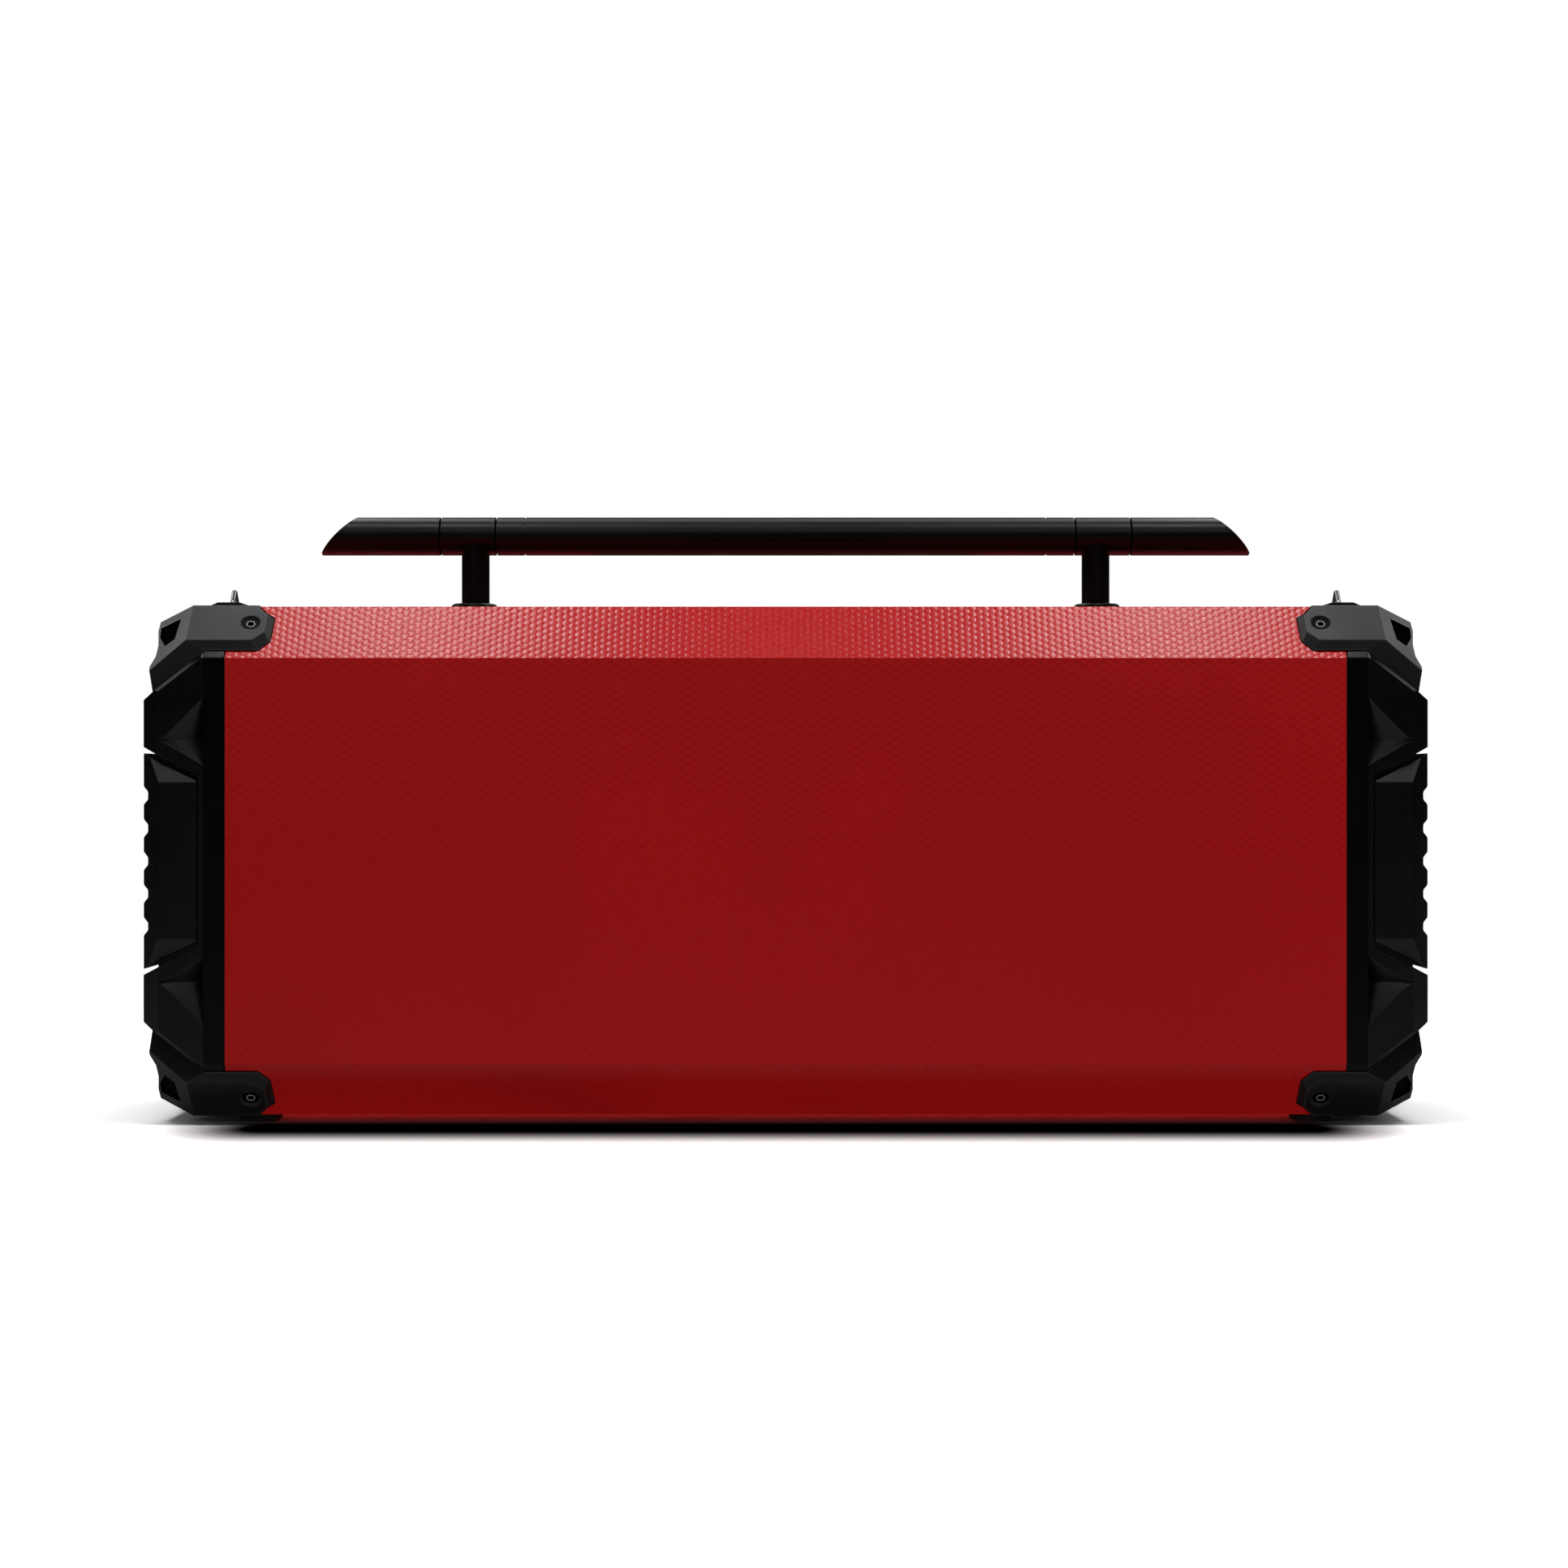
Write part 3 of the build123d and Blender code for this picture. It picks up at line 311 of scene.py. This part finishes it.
def soften(obj, width):
    """Small moulded radius on every sharp edge of a CAD node."""
    weld = obj.modifiers.new("weld", "WELD")
    weld.merge_threshold = 0.01 * MM
    merge = obj.modifiers.new("flats", "DECIMATE")
    merge.decimate_type = "DISSOLVE"
    merge.angle_limit = radians(0.5)
    bevel_edges(obj, "radius", width, sharper_than=20)
    flat_faces = obj.modifiers.new("flat_faces", "WEIGHTED_NORMAL")
    flat_faces.weight = 100
    smooth(obj)


edge_radius = {
    "corner_guard": 0.45 * MM, "end_cap": 0.4 * MM, "side_grip": 0.45 * MM,
    "end_strip": 0.2 * MM, "feet": 0.3 * MM, "button": 0.45 * MM, "port_cover": 0.4 * MM,
    "control_panel": 0.3 * MM, "port_plate": 0.3 * MM, "grille_frame": 0.6 * MM,
    "handle_base": 0.25 * MM,
}
for node_name, obj in nodes.items():
    for key, width in edge_radius.items():
        if node_name.startswith(key) and not node_name.endswith("screws"):
            soften(obj, width)

# ------------------------------------------------------------------ covering


def unroll(obj):
    """Map each face of the wrap by its run around the cabinet, in metres."""
    layer = obj.data.uv_layers.new(name="unrolled")
    for polygon in obj.data.polygons:
        normal = polygon.normal
        for loop_index in polygon.loop_indices:
            place = obj.data.vertices[obj.data.loops[loop_index].vertex_index].co
            if abs(normal.x) > 0.7:
                across = (place.y, place.z)
            else:
                run = Vector((0.0, -normal.z, normal.y)).normalized()
                across = (place.x, place.dot(run))
            layer.data[loop_index].uv = across


unroll(nodes["cabinet_covering"])
bevel_edges(nodes["cabinet_covering"], "fold", 0.5 * MM, sharper_than=30)

# ------------------------------------------------------------------ new pieces


def mesh_of(name, vertices, faces):
    mesh = bpy.data.meshes.new(name)
    mesh.from_pydata([tuple(vertex) for vertex in vertices], [], faces)
    return mesh


def add_piece(name, mesh_data, material, body, slot, *replaced):
    """Link one new piece, give it its material, hang it on its body and hide the parts that it
    stands for.
    """
    obj = bpy.data.objects.new(name, mesh_data)
    scene.collection.objects.link(obj)
    obj.data.materials.append(material)
    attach(obj, body)
    if replaced:
        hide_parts(*replaced)
    return obj


def rounded_rectangle(length, height, corner, steps=6):
    """Outline points, counter-clockwise, centred on the origin."""
    points = []
    for quarter, (sx, sy) in enumerate(((1, 1), (-1, 1), (-1, -1), (1, -1))):
        centre = (sx * (length / 2 - corner), sy * (height / 2 - corner))
        for step in range(steps + 1):
            angle = pi / 2 * (quarter + step / steps)
            points.append((centre[0] + corner * cos(angle), centre[1] + corner * sin(angle)))
    return points


def thicken(obj, depth, offset):
    """Give a flat mesh a thickness: offset is -1 to grow inwards and 1 outwards."""
    modifier = obj.modifiers.new("thickness", "SOLIDIFY")
    modifier.thickness = depth
    modifier.offset = offset


# ------------------------------------------------------------------ perforated grille


def perforated_field(low, high, face_y, pitch, hole_radius):
    """Staggered hexagon cells, each with a round hole, in the X-Z plane."""
    cell = pitch / sqrt(3)
    points_per_cell = 12
    corner_and_side = [cell, pitch / 2] * (points_per_cell // 2)
    vertices, faces = [], []
    index = {}

    def vertex(x, z):
        key = (round(x * 1e6), round(z * 1e6))
        if key not in index:
            index[key] = len(vertices)
            vertices.append((x, face_y, z))
        return index[key]

    row_height = 1.5 * cell
    rows = int((high.z - low.z - 2 * cell) / row_height)
    columns = int((high.x - low.x - pitch) / pitch)
    middle_x = (low.x + high.x) / 2
    middle_z = (low.z + high.z) / 2
    for row in range(rows + 1):
        centre_z = middle_z + (row - rows / 2) * row_height
        shift = 0.5 * (row % 2)
        for column in range(columns + (0 if row % 2 else 1)):
            centre_x = middle_x + (column + shift - columns / 2) * pitch
            outer, inner = [], []
            for step, reach in enumerate(corner_and_side):
                angle = pi / 2 + step * pi / 6
                for points, radius in ((outer, reach), (inner, hole_radius)):
                    points.append(
                        vertex(centre_x + radius * cos(angle), centre_z + radius * sin(angle))
                    )
            for step in range(points_per_cell):
                after = (step + 1) % points_per_cell
                faces.append((outer[step], outer[after], inner[after], inner[step]))
    return vertices, faces


grille_low, grille_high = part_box("front_grille")
hole_pitch = 4.4 * MM
hole_radius = 1.5 * MM
sheet_thickness = 0.8 * MM
sheet_behind_hem = 0.15 * MM
hem_width = 5.0 * MM
hem_corner = 6.0 * MM
hem_inner_corner = 3.0 * MM
sheet_under_hem = 3.0 * MM

field_inset = Vector((hem_width - sheet_under_hem, 0, hem_width - sheet_under_hem))
field = perforated_field(
    grille_low + field_inset, grille_high - field_inset,
    grille_low.y + sheet_behind_hem, hole_pitch, hole_radius,
)
grille_sheet = add_piece(
    "grille_sheet", mesh_of("grille_sheet", *field), grille_coat,
    "cabinet", "grille_steel", "front_grille",
)
thicken(grille_sheet, sheet_thickness, -1.0)

grille_size = grille_high - grille_low
hem_outer = rounded_rectangle(grille_size.x, grille_size.z, hem_corner)
hem_inner = rounded_rectangle(
    grille_size.x - 2 * hem_width, grille_size.z - 2 * hem_width, hem_inner_corner
)
hem_middle = (grille_low + grille_high) / 2
hem_points = [
    (hem_middle.x + x, grille_low.y, hem_middle.z + z) for x, z in hem_outer + hem_inner
]
count = len(hem_outer)
hem_faces = [
    (step, (step + 1) % count, count + (step + 1) % count, count + step) for step in range(count)
]
grille_hem = add_piece(
    "grille_hem", mesh_of("grille_hem", hem_points, hem_faces), grille_coat,
    "cabinet", "grille_steel",
)
thicken(grille_hem, grille_size.y, -1.0)
bevel_edges(grille_hem, "radius", 0.35 * MM, sharper_than=30).harden_normals = True
smooth(grille_hem)

# ------------------------------------------------------------------ button signs


def bar(x, y, length, height):
    """One rectangle about a centre."""
    return [
        [
            (x - length / 2, y - height / 2), (x + length / 2, y - height / 2),
            (x + length / 2, y + height / 2), (x - length / 2, y + height / 2),
        ]
    ]


def arc_band(x, y, radius, width, from_degrees, to_degrees, steps=28):
    """Quads along part of a ring."""
    quads = []
    for step in range(steps):
        ends = [
            radians(from_degrees + (to_degrees - from_degrees) * (step + more) / steps)
            for more in (0, 1)
        ]
        inner, outer = radius - width / 2, radius + width / 2
        quads.append([
            (x + inner * cos(ends[0]), y + inner * sin(ends[0])),
            (x + outer * cos(ends[0]), y + outer * sin(ends[0])),
            (x + outer * cos(ends[1]), y + outer * sin(ends[1])),
            (x + inner * cos(ends[1]), y + inner * sin(ends[1])),
        ])
    return quads


# Each sign is a list of polygons, in millimetres from the middle of its button.
line = 0.6
sign_rise = 0.12 * MM
sign_sunk = 0.02 * MM
signs = {
    "button_power": arc_band(0, -0.2, 2.2, line, 125, 415) + bar(0, 1.5, line, 2.4),
    "button_pairing": (
        arc_band(-1.5, 0, 1.2, line, 50, 310) + arc_band(1.5, 0, 1.2, line, 230, 490)
        + bar(0, 0, 2.2, line)
    ),
    "button_volume_down": bar(0, 0, 4.0, line),
    "button_play": [[(-1.3, -2.0), (2.3, 0.0), (-1.3, 2.0)]],
    "button_volume_up": bar(0, 0, 4.0, line) + bar(0, 1.15, line, 1.7) + bar(0, -1.15, line, 1.7),
}
for button_name, polygons in signs.items():
    low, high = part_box(button_name)
    centre = (low + high) / 2
    vertices, faces = [], []
    for polygon in polygons:
        faces.append(tuple(range(len(vertices), len(vertices) + len(polygon))))
        vertices += [
            (centre.x + x * MM, centre.y + y * MM, high.z - sign_sunk) for x, y in polygon
        ]
    sign = add_piece(
        button_name.replace("button", "sign"),
        mesh_of(button_name + "_sign", vertices, faces),
        icon_print, button_name, "button_rubber",
    )
    thicken(sign, sign_rise, 1.0)

# ------------------------------------------------------------------ screw socket rims, bright rings painted as a highlight


def outward(point):
    """Direction that a guard screw at this place faces."""
    return Vector((0, 1 if point.y > 0 else -1, 1 if point.z > middle else -1)).normalized()


def screw_heads(obj):
    """Middle of each guard screw's head top, and the way it faces."""
    groups = {}
    for vertex in obj.data.vertices:
        place = vertex.co
        groups.setdefault((place.x > 0, place.y > 0, place.z > middle), []).append(place)
    heads = []
    for places in groups.values():
        away = outward(places[0])
        top_level = max(place.dot(away) for place in places)
        rim = [place for place in places if place.dot(away) > top_level - 0.01 * MM]
        low = [min(place[axis] for place in rim) for axis in range(3)]
        high = [max(place[axis] for place in rim) for axis in range(3)]
        heads.append(((Vector(low) + Vector(high)) / 2, away))
    return heads


def washer_profile(inner, outer, rise, sunk, edge):
    """Section of a thin ring as (radius, height), with its two upper edges eased."""
    return [
        (inner, -sunk), (inner, rise * 0.6), (inner + edge, rise),
        (outer - edge, rise), (outer, rise * 0.6), (outer, -sunk),
    ]


# Thin bright rings round each guard screw's socket: a painted highlight on the socket edge,
# standing on the head.
rim_vertices, rim_faces = [], []
rim_steps = 32
profile = washer_profile(1.17 * MM, 1.37 * MM, 0.1 * MM, 0.2 * MM, 0.05 * MM)
side_x = Vector((1, 0, 0))
for centre, away in screw_heads(nodes["guard_screws"]):
    side_y = away.cross(side_x)
    base = len(rim_vertices)
    for step in range(rim_steps):
        angle = 2 * pi * step / rim_steps
        radial = side_x * cos(angle) + side_y * sin(angle)
        rim_vertices += [centre + radial * reach + away * rise for reach, rise in profile]
    size = len(profile)
    for step in range(rim_steps):
        here, there = base + step * size, base + (step + 1) % rim_steps * size
        rim_faces += [
            (here + k, here + (k + 1) % size, there + (k + 1) % size, there + k)
            for k in range(size)
        ]
socket_rims = add_piece(
    "socket_highlight_rims", mesh_of("socket_highlight_rims", rim_vertices, rim_faces), socket_rim_highlight,
    "cabinet", "screw_steel",
)
smooth(socket_rims)

# ------------------------------------------------------------------ stage, lights, camera


# What the floor and its far blend look like to the camera, to gloss and to diffuse light.
FLOOR_WHITE = 2.6
FLOOR_GLOSS = 0.42
BACKDROP_WHITE = 1.0
BACKDROP_DIFFUSE = 0.29
BACKDROP_GLOSS = 0.03
WORLD_LIGHT = 0.008


def make_floor():
    """Pale floor with a soft contact shadow painted into its colour under and around the speaker,
    white far away.
    """
    half = 6.0
    mesh = bpy.data.meshes.new("floor")
    corners = [(-half, -half, 0), (half, -half, 0), (half, half, 0), (-half, half, 0)]
    mesh.from_pydata(corners, [], [(0, 1, 2, 3)])
    floor = bpy.data.objects.new("floor", mesh)
    scene.collection.objects.link(floor)
    shader = Shader("floor_paper")
    rays = shader.node("ShaderNodeLightPath").outputs
    paper = shader.node("ShaderNodeBsdfDiffuse")
    # Painted contact shadow: to the camera, the floor's colour fades to black near the speaker's
    # footprint.
    outside = shader.vector("ABSOLUTE", shader.position())
    outside = shader.vector("SUBTRACT", outside, (0.165, 0.082, 0.0))
    outside = shader.vector("MAXIMUM", outside, (0.0, -1.0, 0.0))
    outside = shader.vector("DIVIDE", outside, (0.0225, 0.05, 1.0))
    contact = shader.ramp(shader.vector("LENGTH", outside), 0.3, 2.0)
    seen = shader.mix(contact, grey(0.0), grey(FLOOR_WHITE))
    colour = shader.mix(rays["Is Camera Ray"], grey(FLOOR_GLOSS), seen)
    shader.put(paper.inputs["Color"], colour)
    sweep = shader.node("ShaderNodeEmission")
    bounce = shader.mix(rays["Is Diffuse Ray"], grey(BACKDROP_GLOSS), grey(BACKDROP_DIFFUSE))
    glow = shader.mix(rays["Is Camera Ray"], bounce, grey(BACKDROP_WHITE))
    shader.put(sweep.inputs["Color"], glow)
    far = shader.ramp(shader.vector("LENGTH", shader.position()), 0.4, 1.0)
    blend = shader.node("ShaderNodeMixShader")
    shader.put(blend.inputs["Fac"], shader.math("MAXIMUM", far, rays["Is Diffuse Ray"]))
    shader.join(paper.outputs["BSDF"], blend.inputs[1])
    shader.join(sweep.outputs["Emission"], blend.inputs[2])
    output = shader.tree.nodes["Material Output"]
    shader.join(blend.outputs["Shader"], output.inputs["Surface"])
    floor.data.materials.append(shader.material)


def make_world():
    """White to the camera, and nearly black to every other ray."""
    world = bpy.data.worlds.new("studio")
    scene.world = world
    world.use_nodes = True
    tree = world.node_tree
    background = tree.nodes["Background"]
    ray = tree.nodes.new("ShaderNodeLightPath")
    mix = tree.nodes.new("ShaderNodeMix")
    mix.data_type = "RGBA"
    mix.inputs["A"].default_value = grey(WORLD_LIGHT)
    mix.inputs["B"].default_value = grey(BACKDROP_WHITE)
    tree.links.new(ray.outputs["Is Camera Ray"], mix.inputs["Factor"])
    tree.links.new(mix.outputs["Result"], background.inputs["Color"])


def softbox(name, place, target, size, radiance, shapes=True, shines=True):
    """Rectangular soft light, given its radiance; shapes is diffuse light, shines is gloss."""
    data = bpy.data.lights.new(name, "AREA")
    data.shape = "RECTANGLE"
    data.size, data.size_y = size
    data.energy = radiance * size[0] * size[1] * pi
    lamp = bpy.data.objects.new(name, data)
    scene.collection.objects.link(lamp)
    lamp.location = place
    lamp.rotation_euler = (Vector(target) - Vector(place)).to_track_quat("-Z", "Y").to_euler()
    lamp.visible_camera = False
    lamp.visible_diffuse = shapes
    lamp.visible_glossy = shines


make_floor()
make_world()

# Each light's last number is its radiance. The rear is the side in the photograph, at +y.
subject = (0.0, 0.0, middle)
softbox("main_rear", (0, 0.36, 1.44), subject, (1.6, 0.34), 6.6, shines=False)
softbox("main_front", (0, -0.36, 1.44), subject, (1.6, 0.34), 2.5, shines=False)
softbox("fill_rear", (0, 2.2, 0.5), subject, (2.0, 0.8), 1.12, shines=False)
softbox("fill_front", (0, -2.2, 0.5), subject, (2.0, 0.8), 1.6, shines=False)
softbox("overhead", (0, -0.05, 1.3), (0, -0.05, 0), (1.0, 0.3), 0.05, shapes=False)
softbox("key_front", (0, -1.3, 1.5), subject, (1.8, 0.6), 1.2, shapes=False)
softbox("canopy", (0, 0.55, 1.35), subject, (1.6, 0.3), 1.1, shapes=False)
softbox("key_rear", (0, 1.3, 1.5), subject, (1.8, 0.6), 1.1, shapes=False)
for side in (-1, 1):
    near = side * 0.2
    beyond = side * 0.3
    softbox("strip", (near, -0.05, 1.2), (near, -0.05, 0), (0.08, 0.34), 14, shapes=False)
    softbox("wing", (beyond, -0.05, 1.25), (beyond, -0.05, 0), (0.24, 0.3), 0.8, shapes=False)
    softbox("flank", (side * 1.0, -0.7, 0.9), subject, (0.6, 0.6), 1.5, shapes=False)
    softbox("rim", (side * 0.38, -1.4, 1.2), subject, (0.2, 0.5), 4.0, shapes=False)
    softbox("side", (side * 1.6, 0, 1.1), subject, (1.0, 0.6), 0.4)

view_width = 501.2 * MM  # across the frame, in the plane of the rear side
view_distance = 1.6
eye_height = 109.4 * MM
eye_right = 0.54 * MM
camera_data = bpy.data.cameras.new("camera")
camera_data.lens = camera_data.sensor_width * view_distance / view_width
camera = bpy.data.objects.new("camera", camera_data)
scene.collection.objects.link(camera)
camera.location = (eye_right, half_depth + view_distance, eye_height)
camera.rotation_euler = (radians(90), 0, radians(180))
scene.camera = camera
scene.view_settings.view_transform = "Standard"
